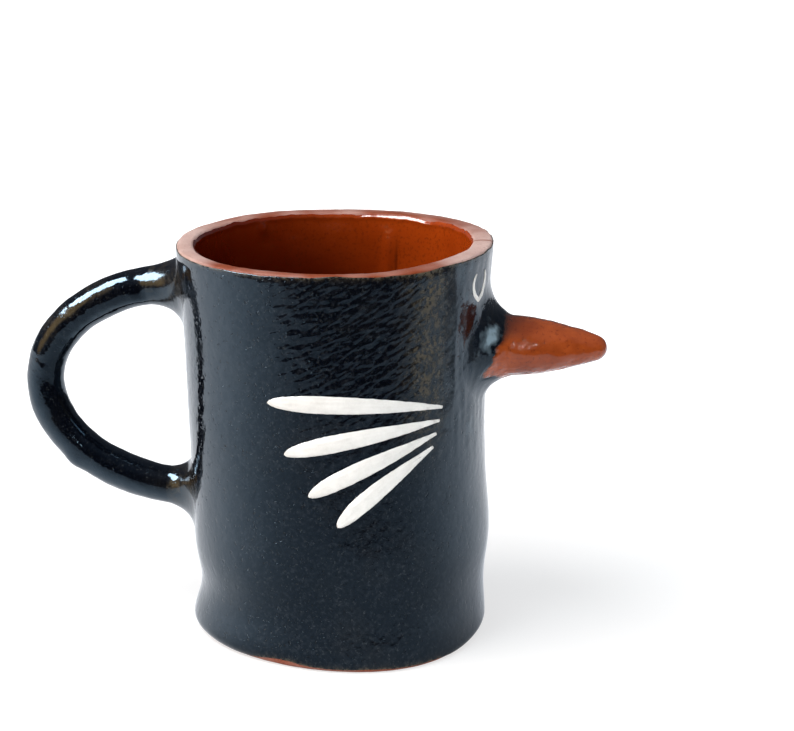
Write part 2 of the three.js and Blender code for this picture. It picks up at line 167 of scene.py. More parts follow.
# Handle
HANDLE_UPPER_HEIGHT = 88.6
HANDLE_LOWER_HEIGHT = 33.8
HANDLE_END_RADIUS = 5.0
HANDLE_CROWN_RADIUS = 4.9
HANDLE_REACH = 38.5
HANDLE_ROUNDNESS = 0.55
HANDLE_ROOT = 4.0  # how far its ends run into the wall
COIL_WAVES = ((0.30, 15, 17), (0.13, 5, 18), (0.05, 2, 19))
NOTCH_DEPTH = 0.5
NOTCH_PLACE = (0.09, 0.016)  # middle and spread, as shares of the coil's length
NOTCH_ANGLE = math.radians(-60)
KNUCKLE_HEIGHT = 0.7
KNUCKLE_PLACE = (0.73, 0.025)
CREST_PLACE = (0.3, 0.13)  # where the glaze is thin on the coil's outside; its gold-brown is partly a painted warm reflection
HANDLE_WELD_FLARE = 4.8
HANDLE_WELD_DRIFT = 0.6
HANDLE_WELD_SMEAR = 0.12
WELD_SIDEWAYS = 0.7  # share by which a handle joint flares more sideways
UPPER_WELD_LENGTH = 10.0
UPPER_WELD_FILL = 1.6  # extra flare on the finger gap's side
LOWER_WELD_LENGTH = 7.5
LOWER_WELD_FILL = 0.6
LOWER_WELD_SPREAD = 1.6  # extra flare below the lower joint
WELD_OVER_COIL = 0.03
WELD_INTO_COIL = 0.07  # a joint's thin end sinks this far into the coil
WELD_APRON = 1.0  # a joint's thin edge runs on this far just under the wall's face
WELD_APRON_DEPTH = 0.12
WELD_SINK = 0.02  # how far a joint's edge starts below the wall's face
WELD_SINK_TURN = 0.4  # radians of the joint's curve in which it comes up

# Beak
BEAK_HEIGHT = 75.0
BEAK_LENGTH = 30.3
BEAK_ROOT_RADIUS = 8.0
BEAK_SHOULDER = 14.0
BEAK_TIP_RADIUS = 3.3
BEAK_TIP_LENGTH = 2.7
BEAK_TIP_END = 0.002  # the last ring lies this far inside the tip
BEAK_START_TURN = 0.5  # the cone's root starts this far into the curve of its joint
BEAK_ROOT = 1.5
BEAK_DEPTH = 0.12  # of the cone's root below the black smear
BEAK_WAVES = ((0.22, 9, 24), (0.17, 2.6, 25))
BEAK_THUMB_WAVES = ((0.9, 4.5, 34),)
BEAK_WELD_FLARE = 9.6
BEAK_WELD_LENGTH = 7.2
BEAK_WELD_SMEAR = 0.08
BEAK_WELD_TUCK = 0.35  # share by which the joint flares less below the beak
BEAK_WELD_LIP = 0.14
BEAK_WELD_RAISE = 0.01
BEAK_WELD_THICKNESS = 0.6
BEAK_BORDER = 5.0  # how far the black glaze runs out along the beak
BEAK_BORDER_WAVES = ((0.9, 0.45, 26), (0.8, 0.16, 41))
BEAK_BAY = 3.2  # and how much less on the photographed side
BEAK_BAY_ANGLES = (-148, 30)
GLEAM_ANGLES = (155, 21)  # a painted blue-white highlight on the joint
GLEAM_PLACE = (0.7, 0.22)  # middle and spread, as shares of the way out

# White slip
SLIP_LANES = 17
SLIP_LIFT = 0.3
SLIP_EDGE_LIFT = 0.02
SLIP_ROOT = 0.3
SLIP_RAGGED = 0.09
HAIRS_ALONG = 9.0  # how closely the brush's marks lie
HAIRS_ACROSS = 3.2
EYE_ANGLE = math.radians(16.4)
EYE_HEIGHT = 92.8
EYE_END_WIDTH = 0.35
EYE_SWELL = 0.85
WING_ANGLE = math.radians(38)
WING_HEIGHT = 65.0
FEATHER_COUNT = 4
FEATHER_LENGTH = 46.0
FEATHER_SHORTENING = 5.0
FEATHER_WIDTH = 5.0
FEATHER_PITCH = 3.2
FEATHER_SETBACK = 1.0
FEATHER_DROOP = math.radians(-4)
FEATHER_FAN = math.radians(13)
FEATHER_BOW = 3.0
FEATHER_POINT = 0.8
FEATHER_FULLEST = 0.7

# Mesh fineness
WALL_COLUMNS = 470
WALL_ROWS = 170
RIM_COLUMNS = 400
LINER_COLUMNS = 320
TUBE_SIDES = 64

# Colours
INK = (0.0007, 0.0011, 0.0028, 1)
INK_PALE = (0.0011, 0.0016, 0.0038, 1)
INK_GRAIN = (0.011, 0.013, 0.017, 1)
INK_THIN = (0.09, 0.068, 0.034, 1)
INK_FLECK = (0.045, 0.05, 0.052, 1)
INK_PAINTED_REFLECTION = (0.26, 0.36, 0.42, 1)
INK_GLOSS = (0.55, 0.79, 1.0, 1)
CLAY_RED = (0.50, 0.32, 0.275, 1)
CLAY_PALE = (0.60, 0.43, 0.385, 1)
CLAY_SHADE_AND_STAIN = (0.23, 0.045, 0.013, 1)
CLAY_PORE = (0.20, 0.055, 0.03, 1)
AMBER = (0.30, 0.038, 0.003, 1)
AMBER_PALE = (0.39, 0.055, 0.0045, 1)
AMBER_SHADED = (0.055, 0.0017, 0.0002, 1)
AMBER_SEAM = (0.012, 0.001, 0.0003, 1)
AMBER_FRECKLE = (0.06, 0.01, 0.002, 1)
BEAK_RED = (0.24, 0.041, 0.007, 1)
BEAK_PALE = (0.34, 0.066, 0.013, 1)
BEAK_THIN_AND_SHADE = (0.03, 0.012, 0.008, 1)
BEAK_FRECKLE = (0.11, 0.018, 0.006, 1)
SLIP_WHITE = (0.86, 0.86, 0.83, 1)
SLIP_GREY = (0.74, 0.74, 0.71, 1)
SLIP_DRY = (0.16, 0.17, 0.17, 1)
WHITE = (1, 1, 1, 1)
COOL = (0.94, 1.0, 1.1, 1)
TABLE_PALE = (0.82, 0.82, 0.82, 1)
TABLE_GREY = (0.42, 0.42, 0.42, 1)
SKY = (0.22, 0.24, 0.27, 1)
SKY_MIRRORED = (0.09, 0.10, 0.12, 1)
SKY_WARM = (2.0, 1.05, 0.42, 1)
ROOM_DIM = (0.02, 0.02, 0.02, 1)

# Photographed view, in metres
CAMERA_PLACE = Vector((0.10048, -0.64563, 0.24816))
CAMERA_AIM = Vector((0.01366, 0.0, 0.06893))
CAMERA_ROLL = math.radians(0.97)
CAMERA_LENS = 120.9
SENSOR_WIDTH = 36.0

# Studio, in metres and degrees
TABLE_RADIUS = 1.2
TABLE_FRONT = 0.235  # from the mug's axis to the table's nearest edge
TABLE_FRONT_ANGLE = -72
TABLE_DROP = 0.00005
DARK_ANGLE = -70  # side on which the mirrored table is darkest
STRIPE_ANGLE = 6.5  # a darker stripe that the wall mirrors beside the beak
STRIPE_SHADE = 0.75
EDGE_SHADE = 0.45  # the mirrored table darkens towards its nearest edge
EDGE_WIDTH = 0.10
ROOM_ANGLE = -72  # a dim room behind the camera
WARM_PLACE = (-150, 18)  # angle and elevation of a warm patch of sky
LAMP_AIM = Vector((0, 0, 0.05))


def noise_field(points, size, seed):
    """Smooth noise from about -1 to 1 at each point. Size is the width of one lump."""
    offset = Vector((7.1, 13.7, 3.3)) * seed
    flat = (np.asarray(points, float) / size).reshape(-1, 3)
    values = [noise.noise(Vector(point) + offset) for point in flat]
    return np.array(values).reshape(np.shape(points)[:-1])


def flat_noise(first, second, level, seed):
    """Smooth noise over two measures."""
    return noise_field(np.stack(np.broadcast_arrays(first, second, level), -1), 1, seed)


def uneven(points, waves):
    """Sum of layers of noise."""
    return sum(depth * noise_field(points, size, seed) for depth, size, seed in waves)


def smooth_step(value, start, end):
    """0 before start, 1 after end, and a smooth rise between them."""
    share = np.clip((value - start) / (end - start), 0, 1)
    return share * share * (3 - 2 * share)


def bell(value, middle, spread):
    """Bump of height 1 round a middle."""
    return np.exp(-(((value - middle) / spread) ** 2))


def wrap(angle):
    """Angle brought to within half a turn of 0."""
    return np.angle(np.exp(1j * angle))


def angle_bell(angle, middle, spread):
    """Bump of height 1 round a middle in degrees, the short way round."""
    return bell(wrap(angle - math.radians(middle)), 0, math.radians(spread))


def polar(radius, angle, z):
    """Points at a radius, an angle and a height."""
    radius, angle, z = np.broadcast_arrays(radius, angle, z)
    return np.stack([radius * np.cos(angle), radius * np.sin(angle), z], axis=-1)


def direction(angle, elevation):
    """Unit vector towards an angle round the mug and an elevation, in degrees."""
    turn, rise = math.radians(angle), math.radians(elevation)
    return Vector((math.cos(turn) * math.cos(rise), math.sin(turn) * math.cos(rise), math.sin(rise)))


def headings(line):
    """Unit vectors along a line of points."""
    steps = np.gradient(line, axis=0)
    return steps / np.linalg.norm(steps, axis=1)[:, None]


def bezier(guides, share):
    """Points of a Bezier curve with any number of guide points."""
    share = np.asarray(share, float)[:, None]
    layer = [np.asarray(guide, float) for guide in guides]
    while len(layer) > 1:
        layer = [(1 - share) * a + share * b for a, b in zip(layer, layer[1:])]
    return layer[0]


def circle_angles(count):
    """One row of angles all round."""
    return np.linspace(-math.pi, math.pi, count, endpoint=False)[None, :]


# The body's surface

def body_radius(z):
    """Radius of the body over the glaze, before the marks of the hand."""
    flare = (RIM_RADIUS - BODY_RADIUS) * (z / MUG_HEIGHT) ** FLARE_POWER
    return BODY_RADIUS + flare - PINCH_DEPTH * bell(z, *PINCH_BAND)


def foot_round(angle, z):
    """How far the foot's rounded edge lies inside the wall."""
    left = (FOOT_FILLET_LEFT - FOOT_FILLET) * angle_bell(angle, *FOOT_LEFT_ANGLES)
    right = (FOOT_FILLET_RIGHT - FOOT_FILLET) * angle_bell(angle, *FOOT_RIGHT_ANGLES)
    size = FOOT_FILLET + left + right
    under = np.clip(1 - z / size, 0, 1)
    return size * (1 - np.sqrt(1 - under**2))


def lumps(angle, z):
    """Unevenness of the body, shared by everything that lies on it."""
    handle_side = (1 - np.cos(angle)) ** 2 / 4
    beak_side = (1 + np.cos(angle)) ** 2 / 4
    spread = FOOT_SPREAD * bell(z, *FOOT_SPREAD_BAND) - WAIST * bell(z, *WAIST_BAND)
    belly = BELLY * bell(z, *BELLY_BAND)
    push = FOOT_PUSH * bell(z, *FOOT_PUSH_BAND) * angle_bell(angle, *FOOT_PUSH_ANGLES)
    dents = uneven(polar(BODY_RADIUS, angle, z), BODY_WAVES)
    return spread * handle_side + belly * beak_side + push + dents


def ripple(angle, z):
    """Shallow slanting dashes left by the cloth, and runs of glaze beside the beak."""
    def print_at(turned):
        along = turned * BODY_RADIUS
        lengthwise = along * math.cos(RIPPLE_SLANT) + z * math.sin(RIPPLE_SLANT)
        crosswise = z * math.cos(RIPPLE_SLANT) - along * math.sin(RIPPLE_SLANT)
        return flat_noise(lengthwise / RIPPLE_LENGTH, crosswise / RIPPLE_PITCH, level=0.4, seed=3)

    overlap = smooth_step(angle, RIPPLE_OVERLAP, math.pi)
    cloth = (1 - overlap) * print_at(angle) + overlap * print_at(angle - 2 * math.pi)
    higher = RIPPLE_LEAST + (1 - RIPPLE_LEAST) * smooth_step(z, *RIPPLE_RISE)
    nearer = RIPPLE_LEAST + (1 - RIPPLE_LEAST) * smooth_step(-np.sin(angle), *RIPPLE_TURN)
    runs = flat_noise(angle * BODY_RADIUS / RUN_WIDTH, z / RUN_LENGTH, level=0.7, seed=38)
    beside_beak = angle_bell(angle, *RUN_ANGLES) * smooth_step(z, *RUN_RISE)
    return RIPPLE_DEPTH * higher * nearer * cloth + RUN_DEPTH * runs * beside_beak


def clay_radius(angle, z, depth):
    """Radius at a depth below the glaze's face, with the marks of the hand."""
    return body_radius(z) + lumps(angle, z) - foot_round(angle, z) - depth


def face_radius(angle, z):
    """Radius of the black coat's face."""
    return clay_radius(angle, z, 0) + ripple(angle, z)


def rim_height(angle):
    """Height of the hand-cut rim."""
    wave = uneven(polar(RIM_RADIUS, angle, 0.0), RIM_WAVES)
    zigzag = np.abs((angle - math.radians(KNIFE_ANGLES[0])) / KNIFE_PITCH % 1 - 0.5)
    facets = KNIFE_DEPTH * zigzag * angle_bell(angle, *KNIFE_ANGLES)
    return MUG_HEIGHT + RIM_LIFT + RIM_SIDE_LIFT * np.cos(angle) ** 2 + wave + facets


def rim_width(angle):
    """Width of the bare rim."""
    middle = (RIM_WIDTH_LEFT + RIM_WIDTH_RIGHT) / 2
    swing = (RIM_WIDTH_RIGHT - RIM_WIDTH_LEFT) / 2
    thinning = RIM_THINNING * angle_bell(angle, *RIM_THINNING_ANGLES)
    wave = uneven(polar(RIM_RADIUS, angle, 0.0), RIM_WIDTH_WAVES)
    return middle + swing * np.cos(angle) - thinning + wave


# Meshes

def skin(name, rings, loop=False):
    """Leaning mesh over rings of points. The last ring joins the first, or both ends are capped."""
    x, y, z = np.moveaxis(rings, -1, 0)
    leaned = np.stack([x - LEAN * z, y, z + LEAN * x * z / MUG_HEIGHT], -1)
    rows, sides = rings.shape[:2]
    index = np.arange(rows * sides).reshape(rows, sides)
    lower = index if loop else index[:-1]
    upper = np.roll(index, -1, axis=0) if loop else index[1:]
    quads = np.stack([lower, np.roll(lower, -1, 1), np.roll(upper, -1, 1), upper], -1)
    faces = quads.reshape(-1, 4).tolist()
    if not loop:
        faces += [index[0, ::-1].tolist(), index[-1].tolist()]
    mesh = bpy.data.meshes.new(name)
    mesh.from_pydata((leaned.reshape(-1, 3) * MM).tolist(), [], faces)
    shape = bmesh.new()
    shape.from_mesh(mesh)
    if shape.calc_volume(signed=True) < 0:
        mesh.flip_normals()
    shape.free()
    mesh.shade_smooth()
    return mesh


def paint(mesh, name, values):
    """Stores one number for each point, for a material to read."""
    layer = mesh.attributes.new(name, "FLOAT", "POINT")
    layer.data.foreach_set("value", np.clip(values, 0, 1).ravel().astype(np.float32))


def add_object(name, data):
    """New object in the scene."""
    item = bpy.data.objects.new(name, data)
    bpy.context.scene.collection.objects.link(item)
    return item


def add_piece(mesh, finish, slot, *nodes):
    """Adds a mesh as the piece that stands for the named nodes of the part."""
    piece = add_object(mesh.name, mesh)
    mesh.materials.append(finish)
    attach(piece, "root")
    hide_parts(*nodes)


# Node helpers

def new_material(name):
    """Material, its node tree and the output that gives the point on the object, in metres."""
    material = bpy.data.materials.new(name)
    material.use_nodes = True
    tree = material.node_tree
    return material, tree, add_node(tree, "TexCoord").outputs["Object"]


def add_node(tree, kind, settings=None, **inputs):
    """Node with settings and inputs. An input is a plain value or another node's output."""
    node = tree.nodes.new("ShaderNode" + kind)
    for key, value in (settings or {}).items():
        setattr(node, key, value)
    for key, value in inputs.items():
        socket = node.inputs[int(key[1:]) if key[1:].isdigit() else key.replace("_", " ")]
        if isinstance(value, bpy.types.NodeSocket):
            tree.links.new(value, socket)
        else:
            socket.default_value = value
    return node


def attribute(tree, name):
    return add_node(tree, "Attribute", {"attribute_name": name}).outputs["Fac"]


def noise_value(tree, point, scale, detail):
    node = add_node(tree, "TexNoise", Vector=point, Scale=scale, Detail=detail, Roughness=0.55)
    return node.outputs["Fac"]


def ramp(tree, value, low, high, to_low=0.0, to_high=1.0):
    """Value from low to high mapped smoothly to a new range."""
    node = add_node(
        tree, "MapRange", {"interpolation_type": "SMOOTHSTEP"},
        Value=value, i1=low, i2=high, i3=to_low, i4=to_high,
    )
    return node.outputs["Result"]


def arithmetic(tree, operation, first, second):
    return add_node(tree, "Math", {"operation": operation}, i0=first, i1=second).outputs[0]


def multiply(tree, first, second):
    return arithmetic(tree, "MULTIPLY", first, second)


def vector_math(tree, operation, first, second=(0, 0, 0)):
    node = add_node(tree, "VectorMath", {"operation": operation}, i0=first, i1=second)
    return node.outputs["Vector" if operation in ("NORMALIZE", "MULTIPLY") else "Value"]


def blend_colour(tree, share, first, second):
    node = add_node(tree, "Mix", {"data_type": "RGBA"}, i0=share, i6=first, i7=second)
    return node.outputs[2]


def mix_shader(tree, share, first, second):
    return add_node(tree, "MixShader", i0=share, i1=first, i2=second).outputs[0]


def bump(tree, height, depth, below=None):
    """Relief of a depth in millimetres, on top of other relief."""
    node = add_node(tree, "Bump", Height=height, Distance=depth * MM)
    if below is not None:
        tree.links.new(below, node.inputs["Normal"])
    return node.outputs["Normal"]


def dress(material, colour, roughness, relief, **values):
    """Gives a material its colour, roughness and relief, and sets other inputs."""
    tree = material.node_tree
    shader = tree.nodes["Principled BSDF"]
    for key, output in (("Base Color", colour), ("Roughness", roughness), ("Normal", relief)):
        tree.links.new(output, shader.inputs[key])
    for key, value in values.items():
        shader.inputs[key.replace("_", " ")].default_value = value
    return material


# Finishes

def cloth_print(tree, point):
    """Height of short dashes that wind round the wall, deepest high on the photographed side."""
    height = add_node(tree, "SeparateXYZ", Vector=point).outputs["Z"]
    turn = multiply(tree, height, -PRINT_TWIST)
    wound = add_node(tree, "VectorRotate", {"rotation_type": "Z_AXIS"}, Vector=point, Angle=turn)
    stretch = (1 / (PRINT_PITCH * MM), 1 / (PRINT_PITCH * MM), 1 / (PRINT_LENGTH * MM))
    scaled = vector_math(tree, "MULTIPLY", wound.outputs[0], stretch)
    dashes = add_node(tree, "TexNoise", Vector=scaled, Scale=1.0, Detail=0.4, Distortion=0.25)
    facing = vector_math(tree, "DOT_PRODUCT", point, direction(PRINT_ANGLE, 0))
    higher = ramp(tree, height, 0.05, 0.075, 0.04, 1.0)
    pressed = multiply(tree, higher, ramp(tree, facing, 0.031, 0.0365, 0.06, 1.0))
    return multiply(tree, dashes.outputs["Fac"], pressed)


def black_glaze(name, printed):
    """Glossy blue-black glaze, brown where it runs thin, with painted slate-blue reflections where a
    piece paints them. On the wall it has the cloth's print.
    """
    material, tree, point = new_material(name)
    cloud = noise_value(tree, point, 70, 4)
    speck = noise_value(tree, point, 1500, 2)
    peel = noise_value(tree, point, 520, 2)
    grain = noise_value(tree, point, 950, 3)
    spots = noise_value(tree, point, 330, 1)
    worn = multiply(tree, attribute(tree, "thin"), ramp(tree, grain, 0.35, 0.65, 0.1, 1.6))
    thin = arithmetic(tree, "ADD", worn, ramp(tree, cloud, 0.5, 0.8, 0, 0.04))
    grained = ramp(tree, grain, 0.47, 0.74, 0, 1.0 if printed else 0.3)
    flecked = ramp(tree, speck, 0.58, 0.74, 0, 0.4)
    colour = blend_colour(tree, cloud, INK, INK_PALE)
    colour = blend_colour(tree, grained, colour, INK_GRAIN)
    colour = blend_colour(tree, thin, colour, INK_THIN)
    colour = blend_colour(tree, flecked, colour, INK_FLECK)
    # Painted reflection: slate-blue patches beside the beak and a blue-white highlight on the beak's
    # joint.
    colour = blend_colour(tree, attribute(tree, "painted_reflection"), colour, INK_PAINTED_REFLECTION)
    matt = multiply(tree, thin, 0.5)
    roughness = arithmetic(tree, "ADD", ramp(tree, cloud, 0.3, 0.75, 0.06, 0.13), matt)
    relief = bump(tree, ramp(tree, grain, 0.29, 0.37), 0.06 if printed else 0.02)
    relief = bump(tree, ramp(tree, spots, 0.20, 0.42), 0.02, relief)
    relief = bump(tree, peel, 0.06, relief)
    if printed:
        relief = bump(tree, cloth_print(tree, point), 0.27, relief)
    return dress(material, colour, roughness, relief, IOR=1.65, Specular_Tint=INK_GLOSS)


def bare_clay():
    """Fired red clay with a pale satin skin, fine grog and darker pores."""
    material, tree, point = new_material("bare_clay")
    cloud = noise_value(tree, point, 120, 4)
    grain = noise_value(tree, point, 1800, 3)
    colour = blend_colour(tree, ramp(tree, cloud, 0.3, 0.7), CLAY_RED, CLAY_PALE)
    # Darker where shade_and_stain is painted: painted shade at the back of the rim, a darker front, a
    # crack and the floor.
    colour = blend_colour(tree, attribute(tree, "shade_and_stain"), colour, CLAY_SHADE_AND_STAIN)
    colour = blend_colour(tree, ramp(tree, grain, 0.3, 0.42, 0.5, 0), colour, CLAY_PORE)
    roughness = ramp(tree, grain, 0.3, 0.7, 0.5, 0.68)
    return dress(material, colour, roughness, bump(tree, grain, 0.08), IOR=1.3)


def amber_glaze():
    """Clear amber glaze over red clay, with painted shade low down and towards the handle."""
    material, tree, point = new_material("amber_glaze")
    cloud = noise_value(tree, point, 45, 4)
    freckle = noise_value(tree, point, 1300, 3)
    dimples = noise_value(tree, point, 260, 2)
    # Painted shade: darker towards the floor and towards -X, the handle's side.
    split = add_node(tree, "SeparateXYZ", Vector=point)
    sideways = multiply(tree, split.outputs["X"], 0.8)
    clear = ramp(tree, arithmetic(tree, "ADD", split.outputs["Z"], sideways), 0.056, 0.130)
    colour = blend_colour(tree, ramp(tree, cloud, 0.3, 0.7), AMBER, AMBER_PALE)
    colour = blend_colour(tree, clear, AMBER_SHADED, colour)
    colour = blend_colour(tree, attribute(tree, "seam"), colour, AMBER_SEAM)
    colour = blend_colour(tree, ramp(tree, freckle, 0.3, 0.5, 0.4, 0), colour, AMBER_FRECKLE)
    roughness = ramp(tree, cloud, 0.3, 0.7, 0.06, 0.12)
    return dress(material, colour, roughness, bump(tree, dimples, 0.18), IOR=1.55)


def beak_glaze():
    """Clear glaze over red clay, with dimples and darker freckles."""
    material, tree, point = new_material("beak_glaze")
    cloud = noise_value(tree, point, 130, 4)
    freckle = noise_value(tree, point, 1100, 3)
    dimples = noise_value(tree, point, 420, 1.5)
    colour = blend_colour(tree, ramp(tree, cloud, 0.3, 0.7), BEAK_RED, BEAK_PALE)
    # Dark where the black glaze runs thin, with painted shade on the upper side near the root.
    colour = blend_colour(tree, attribute(tree, "thin"), colour, BEAK_THIN_AND_SHADE)
    colour = blend_colour(tree, ramp(tree, freckle, 0.3, 0.42, 0.5, 0), colour, BEAK_FRECKLE)
    roughness = ramp(tree, cloud, 0.3, 0.7, 0.03, 0.06)
    return dress(material, colour, roughness, bump(tree, dimples, 0.45), IOR=1.9)


def white_slip():
    """Brushed white slip under clear glaze, grey where the brush ran dry."""
    material, tree, point = new_material("white_slip")
    cloud = noise_value(tree, point, 350, 4)
    dry = ramp(tree, arithmetic(tree, "ADD", attribute(tree, "dry"), cloud), 0.95, 1.35, 0, 0.85)
    colour = blend_colour(tree, ramp(tree, cloud, 0.35, 0.7), SLIP_WHITE, SLIP_GREY)
    colour = blend_colour(tree, dry, colour, SLIP_DRY)
    roughness = ramp(tree, cloud, 0.3, 0.7, 0.2, 0.34)
    return dress(material, colour, roughness, bump(tree, cloud, 0.06))


# Body pieces

def edge_rows(count, border, fine):
    """Shares from 0 to 1 with extra rows within a border share of both ends."""
    ramp_in = np.linspace(0, border, fine, endpoint=False)
    middle = np.linspace(border, 1 - border, count - 2 * fine)
    return np.concatenate([ramp_in, middle, 1 - ramp_in[::-1]])


def make_wall_glaze():
    """Black coat from the foot to a ragged line below the rim."""
    angle = circle_angles(WALL_COLUMNS)
    spots = polar(BODY_RADIUS, angle, 0.0)
    bare_patch = BARE_PATCH * angle_bell(angle, *BARE_PATCH_ANGLES)
    bare_line = BARE_LINE * angle_bell(angle, *BARE_LINE_ANGLES)
    foot = COAT_FOOT + uneven(spots, COAT_FOOT_WAVES) + bare_patch + bare_line
    creep = COAT_CREEP * angle_bell(angle, *COAT_CREEP_ANGLES)
    top = rim_height(angle) - COAT_DROP + creep + uneven(spots, COAT_TOP_WAVES)
    z = foot + (top - foot) * edge_rows(WALL_ROWS, border=0.012, fine=6)[:, None]
    border = np.minimum(z - foot, top - z)
    sunk = COAT_EDGE_SINK * COAT * (1 - smooth_step(border, 0, COAT_EDGE))
    relief = ripple(angle, z) * smooth_step(border, 0, COAT_PRINT_EDGE)
    face = polar(clay_radius(angle, z, sunk) + relief, angle, z)
    back_z = foot + (top - foot) * np.linspace(1, 0, 24)[:, None]
    back = polar(clay_radius(angle, back_z, SHELL), angle, back_z)
    mesh = skin("wall_glaze", np.concatenate([face, back]), loop=True)
    streak = angle_bell(angle, *STREAK_ANGLES) * smooth_step(z, *STREAK_RISE)
    mottle = 0.75 + 0.7 * noise_field(face * [1, 1, 0.6], 1.6, 31) + 0.6 * noise_field(face, 5, 32)
    thin = 0.6 * np.exp(-border / COAT_EDGE_WEAR) + 0.55 * streak * np.clip(mottle, 0, 1.6)
    paint(mesh, "thin", np.concatenate([thin, 0 * back_z]))
    # Painted reflection: slate-blue patches beside the beak.
    beside_beak = angle_bell(angle, *PAINTED_REFLECTION_ANGLES) * smooth_step(z, *PAINTED_REFLECTION_RISE)
    reflection_mottle = noise_field(face * [1, 1, 0.3], 2.2, 39) + 0.5 * noise_field(face, 1.2, 40)
    painted_reflection = PAINTED_REFLECTION_SHARE * beside_beak * smooth_step(reflection_mottle, 0.05, 0.6)
    paint(mesh, "painted_reflection", np.concatenate([painted_reflection, 0 * back_z]))
    return mesh


def make_wall():
    """Clay slab with its cut rim left bare."""
    angle = circle_angles(RIM_COLUMNS)
    top = rim_height(angle)
    width = rim_width(angle)
    turns = np.linspace(0, RIGHT_ANGLE, 6)
    hidden = np.linspace(FLOOR_THICKNESS, MUG_HEIGHT - 6, 14)
    near_rim = np.linspace(MUG_HEIGHT - 5, MUG_HEIGHT - 1.5, 6)
    rows = [(height * top / MUG_HEIGHT, SHELL + SHELL_GAP) for height in hidden]
    rows += [(height * top / MUG_HEIGHT, COAT) for height in near_rim]
    for turn in turns:
        level = top - RIM_ROUND + RIM_ROUND * math.sin(turn)
        rows.append((level, COAT + RIM_ROUND * (1 - math.cos(turn))))
    for share in np.linspace(0.1, 0.9, 7):
        level = top + RIM_CROWN * math.sin(math.pi * share)
        rows.append((level, COAT + RIM_ROUND + share * (width - 2 * RIM_ROUND)))
    for turn in turns[::-1]:
        level = top - RIM_ROUND + RIM_ROUND * math.sin(turn)
        rows.append((level, COAT + width - RIM_ROUND * (1 - math.cos(turn))))
    for height in np.concatenate([hidden, near_rim])[::-1]:
        rows.append((height * top / MUG_HEIGHT, COAT + width))
    level = np.concatenate([row[0] for row in rows])
    depth = np.concatenate([row[1] + 0 * angle for row in rows])
    place = polar(clay_radius(angle, level, depth), angle, level)
    grain = uneven(place, RIM_GRAIN_WAVES)
    place[..., 2] += grain * smooth_step(level, MUG_HEIGHT - 3, MUG_HEIGHT - 1)
    mesh = skin("wall", place, loop=True)
    # Painted shade darkens the back of the rim. The front is darker too, and a dark crack crosses the rim
    # beside the beak.
    back = smooth_step(np.sin(angle), 0.1, 0.7) * (0.75 + 0.5 * noise_field(place, 6, 30))
    facing = np.cos(angle - RIM_DARK_FRONT_ANGLE)
    front = smooth_step(facing, 0.5, 0.8) * (0.95 + 0.35 * noise_field(place, 5, 35))
    crack = angle_bell(angle, *RIM_CRACK_ANGLES)
    paint(mesh, "shade_and_stain", np.maximum(np.maximum(back, front), crack))
    return mesh


def make_floor():
    """Base disc with a round lower edge and a slightly hollow underside."""
    angle = circle_angles(RIM_COLUMNS)
    edge = clay_radius(angle, FLOOR_LOWEST, COAT)
    shares = np.linspace(0.01, 0.95, 24)
    under = [polar(share * edge, angle, FLOOR_HOLLOW * (1 - share**6)) for share in shares]
    fillet = np.linspace(FLOOR_LOWEST, FOOT_FILLET, 10)
    levels = np.concatenate([fillet, np.linspace(2, FLOOR_THICKNESS, 6)])[:, None]
    side = polar(clay_radius(angle, levels, COAT), angle, levels)
    lid = [polar(share * (BODY_RADIUS - 1), angle, FLOOR_THICKNESS) for share in (0.9, 0.5, 0.01)]
    rings = np.concatenate([*under, side, *lid])
    texture = uneven(rings, FLOOR_WAVES) * (rings[..., 2] < 0.5)
    rings[..., 2] = np.maximum(rings[..., 2] + texture, 0)
    mesh = skin("floor", rings)
    # The floor's clay is darker nearly all over.
    paint(mesh, "shade_and_stain", 0.85 + 0.3 * noise_field(rings, 6, 33))
    return mesh


def make_liner_glaze():
    """Amber coat from a ragged line under the rim down the inside and over the floor."""
    angle = circle_angles(LINER_COLUMNS)
    top = rim_height(angle) - LINER_DROP + uneven(polar(RIM_RADIUS, angle, 0.0), LINER_TOP_WAVES)
    width = rim_width(angle)
    corner = LINER_FLOOR + LINER_FILLET
    z = top + (corner - top) * (np.linspace(0, 1, 90) ** 1.6)[:, None]
    from_edge = top - z
    bead = LINER_BEAD * bell(from_edge, *LINER_BEAD_BAND)
    coat = LINER_COAT * smooth_step(from_edge, 0, LINER_BEAD_BAND[0]) + bead
    seam = angle_bell(angle, SEAM_ANGLE, math.degrees(SEAM_HALF_WIDTH / BODY_RADIUS))
    ridge = SEAM_HEIGHT * seam * smooth_step(from_edge, 1, 12)
    drip = DRIP_HEIGHT * angle_bell(angle, *DRIP_ANGLES) * bell(from_edge, *DRIP_BAND)
    radius = clay_radius(angle, z, COAT + width + coat) - ridge - drip
    radius += uneven(polar(BODY_RADIUS, angle, z), LINER_WAVES)
    face = polar(radius, angle, z)
    flat_radius = radius[-1:] - LINER_FILLET
    fillet = []
    for turn in np.linspace(0, RIGHT_ANGLE, 14)[1:]:
        level = corner - LINER_FILLET * math.sin(turn)
        fillet.append(polar(flat_radius + LINER_FILLET * math.cos(turn), angle, level))
    flat = [polar(flat_radius * share, angle, LINER_FLOOR) for share in np.linspace(1, 0.01, 26)[1:]]
    back = [polar(0.3, angle, LINER_FLOOR_BACK)]
    for share in np.linspace(0, 1, 5):
        level = LINER_FLOOR_BACK + (top - LINER_FLOOR_BACK) * share
        back.append(polar(clay_radius(angle, level, COAT + width - LINER_ROOT), angle, level))
    rings = np.concatenate([*back, face, *fillet, *flat])
    rings[..., 2] += uneven(rings, LINER_FLOOR_WAVES) * (rings[..., 2] < corner - 0.01)
    mesh = skin("liner_glaze", rings)
    height = rings[..., 2]
    shown = smooth_step(height, 97, 88) * smooth_step(height, 30, 60)
    paint(mesh, "seam", 0.6 * angle_bell(angle, *SEAM_EDGE_ANGLES) * shown)
    return mesh


# Handle and joints

